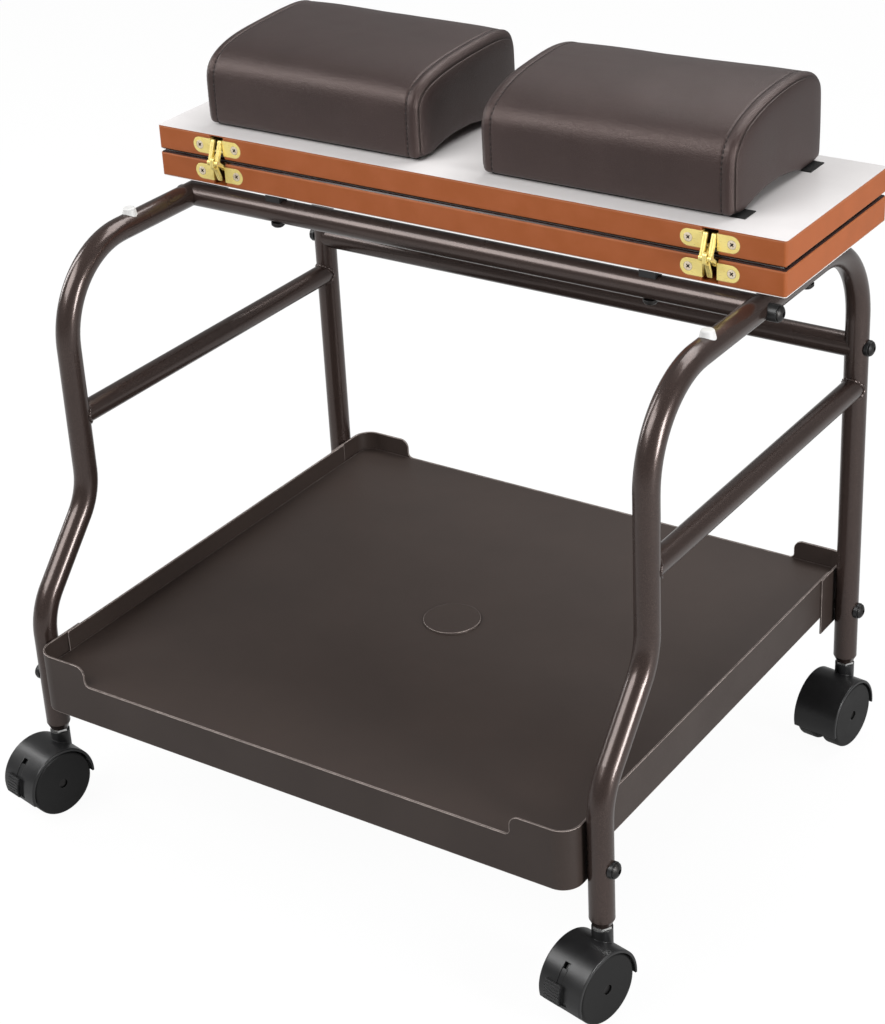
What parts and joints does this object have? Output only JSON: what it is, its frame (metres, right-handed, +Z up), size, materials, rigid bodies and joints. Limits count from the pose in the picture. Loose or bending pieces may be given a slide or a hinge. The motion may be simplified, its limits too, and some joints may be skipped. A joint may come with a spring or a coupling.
{
  "type": "pedicure footrest",
  "caption": "Rolling pedicure footrest with a sheet tray on bent tube side frames, a folding table leaf on concealed hinges and lift-off leg cushions.",
  "frame": {"origin": "on the floor, at the centre of the four legs", "axes": "+X to the right seen from the hinge side, +Y from the front feet to the rear legs, +Z up"},
  "size_m": [0.5005, 0.4225, 0.5124],
  "materials": {
    "bronze_paint": "satin dark bronze powder coat",
    "zinc_steel": "bright zinc plate",
    "black_steel": "black oxide",
    "black_plastic": "satin black nylon",
    "wheel_plastic": "satin dark grey nylon",
    "white_rubber": "white rubber",
    "board_edge": "orange-brown edge of the board, satin",
    "white_face": "white laminate",
    "brass": "light yellow brass plate",
    "hinge_steel": "yellow passivated steel",
    "black_tape": "black hook-and-loop tape",
    "brown_leather": "dark brown leatherette"
  },
  "bodies": {
    "stand": {"left_side_frame": "bronze_paint", "right_side_frame": "bronze_paint", "left_side_rail": "bronze_paint", "right_side_rail": "bronze_paint", "front_rail": "bronze_paint", "rear_rail": "bronze_paint", "rail_plugs": "zinc_steel", "rail_bolts": "black_steel", "saddle_washers": "black_plastic", "leg_bushes": "zinc_steel", "tray_floor": "bronze_paint", "tray_front_fascia": "bronze_paint", "tray_rear_fascia": "bronze_paint", "tray_left_strip": "bronze_paint", "tray_right_strip": "bronze_paint", "tray_cap": "bronze_paint", "tray_bolts": "black_steel", "tray_nuts": "zinc_steel", "bumpers": "white_rubber", "table_spacers": "black_plastic", "table_screws": "black_steel", "lower_board": "board_edge", "lower_board_faces": "white_face", "lower_hinge_cups": "brass", "lower_hinge_pins": "hinge_steel", "lower_hinge_screws": "hinge_steel", "caster_stems": "zinc_steel"},
    "upper_leaf": {"upper_board": "board_edge", "upper_board_faces": "white_face", "upper_hinge_cups": "brass", "upper_hinge_pins": "hinge_steel", "upper_hinge_screws": "hinge_steel", "hook_strips": "black_tape"},
    "lower_links": {"lower_hinge_links": "brass", "hinge_centre_pins": "hinge_steel"},
    "upper_links": {"upper_hinge_links": "brass"},
    "left_pad": {"left_cushion": "brown_leather", "left_loop_strips": "black_tape"},
    "right_pad": {"right_cushion": "brown_leather", "right_loop_strips": "black_tape"},
    "caster_front_left": {"hood_front_left": "black_plastic", "axle_front_left": "zinc_steel"},
    "wheel_a_front_left": {"wheel_a_front_left": "wheel_plastic"},
    "wheel_b_front_left": {"wheel_b_front_left": "wheel_plastic"},
    "brake_front_left": {"brake_front_left": "black_plastic"},
    "caster_front_right": {"hood_front_right": "black_plastic", "axle_front_right": "zinc_steel"},
    "wheel_a_front_right": {"wheel_a_front_right": "wheel_plastic"},
    "wheel_b_front_right": {"wheel_b_front_right": "wheel_plastic"},
    "brake_front_right": {"brake_front_right": "black_plastic"},
    "caster_rear_left": {"hood_rear_left": "black_plastic", "axle_rear_left": "zinc_steel"},
    "wheel_a_rear_left": {"wheel_a_rear_left": "wheel_plastic"},
    "wheel_b_rear_left": {"wheel_b_rear_left": "wheel_plastic"},
    "caster_rear_right": {"hood_rear_right": "black_plastic", "axle_rear_right": "zinc_steel"},
    "wheel_a_rear_right": {"wheel_a_rear_right": "wheel_plastic"},
    "wheel_b_rear_right": {"wheel_b_rear_right": "wheel_plastic"}
  },
  "joints": [
    {"name": "leaf_hinge", "type": "hinge", "parent": "stand", "child": "upper_leaf", "pos_m": [0, 0.021, 0.43175], "axis": [1, 0, 0], "range_deg": [0, 180]},
    {"name": "lower_link_hinge", "type": "hinge", "parent": "stand", "child": "lower_links", "pos_m": [0, 0.0235, 0.426], "axis": [1, 0, 0], "range_deg": [0, 107]},
    {"name": "upper_link_hinge", "type": "hinge", "parent": "upper_leaf", "child": "upper_links", "pos_m": [0, 0.0235, 0.4375], "axis": [1, 0, 0], "range_deg": [-107, 0]},
    {"name": "left_pad_lift", "type": "slide", "parent": "upper_leaf", "child": "left_pad", "axis": [0, 0, 1], "range_m": [0, 0.08]},
    {"name": "right_pad_lift", "type": "slide", "parent": "upper_leaf", "child": "right_pad", "axis": [0, 0, 1], "range_m": [0, 0.08]},
    {"name": "swivel_front_left", "type": "hinge", "parent": "stand", "child": "caster_front_left", "pos_m": [-0.227, -0.1785, 0.055], "axis": [0, 0, 1], "continuous": true},
    {"name": "roll_a_front_left", "type": "hinge", "parent": "caster_front_left", "child": "wheel_a_front_left", "pos_m": [-0.22991, -0.19219, 0.0246], "axis": [0.9781, -0.2079, 0], "continuous": true},
    {"name": "roll_b_front_left", "type": "hinge", "parent": "caster_front_left", "child": "wheel_b_front_left", "pos_m": [-0.22991, -0.19219, 0.0246], "axis": [0.9781, -0.2079, 0], "continuous": true},
    {"name": "brake_slide_front_left", "type": "hinge", "parent": "caster_front_left", "child": "brake_front_left", "pos_m": [-0.22991, -0.19219, 0.0246], "axis": [0.9781, -0.2079, 0], "range_deg": [0, 9]},
    {"name": "swivel_front_right", "type": "hinge", "parent": "stand", "child": "caster_front_right", "pos_m": [0.227, -0.1785, 0.055], "axis": [0, 0, 1], "continuous": true},
    {"name": "roll_a_front_right", "type": "hinge", "parent": "caster_front_right", "child": "wheel_a_front_right", "pos_m": [0.22409, -0.19219, 0.0246], "axis": [0.9781, -0.2079, 0], "continuous": true},
    {"name": "roll_b_front_right", "type": "hinge", "parent": "caster_front_right", "child": "wheel_b_front_right", "pos_m": [0.22409, -0.19219, 0.0246], "axis": [0.9781, -0.2079, 0], "continuous": true},
    {"name": "brake_slide_front_right", "type": "hinge", "parent": "caster_front_right", "child": "brake_front_right", "pos_m": [0.22409, -0.19219, 0.0246], "axis": [0.9781, -0.2079, 0], "range_deg": [0, 9]},
    {"name": "swivel_rear_left", "type": "hinge", "parent": "stand", "child": "caster_rear_left", "pos_m": [-0.227, 0.1785, 0.055], "axis": [0, 0, 1], "continuous": true},
    {"name": "roll_a_rear_left", "type": "hinge", "parent": "caster_rear_left", "child": "wheel_a_rear_left", "pos_m": [-0.22846, 0.16458, 0.0246], "axis": [0.9945, -0.1045, 0], "continuous": true},
    {"name": "roll_b_rear_left", "type": "hinge", "parent": "caster_rear_left", "child": "wheel_b_rear_left", "pos_m": [-0.22846, 0.16458, 0.0246], "axis": [0.9945, -0.1045, 0], "continuous": true},
    {"name": "swivel_rear_right", "type": "hinge", "parent": "stand", "child": "caster_rear_right", "pos_m": [0.227, 0.1785, 0.055], "axis": [0, 0, 1], "continuous": true},
    {"name": "roll_a_rear_right", "type": "hinge", "parent": "caster_rear_right", "child": "wheel_a_rear_right", "pos_m": [0.22554, 0.16458, 0.0246], "axis": [0.9945, -0.1045, 0], "continuous": true},
    {"name": "roll_b_rear_right", "type": "hinge", "parent": "caster_rear_right", "child": "wheel_b_rear_right", "pos_m": [0.22554, 0.16458, 0.0246], "axis": [0.9945, -0.1045, 0], "continuous": true}
  ],
  "couplings": [
    {"joint": "lower_link_hinge", "follows": "leaf_hinge", "ratio": 0.59183},
    {"joint": "upper_link_hinge", "follows": "leaf_hinge", "ratio": -0.59183}
  ]
}
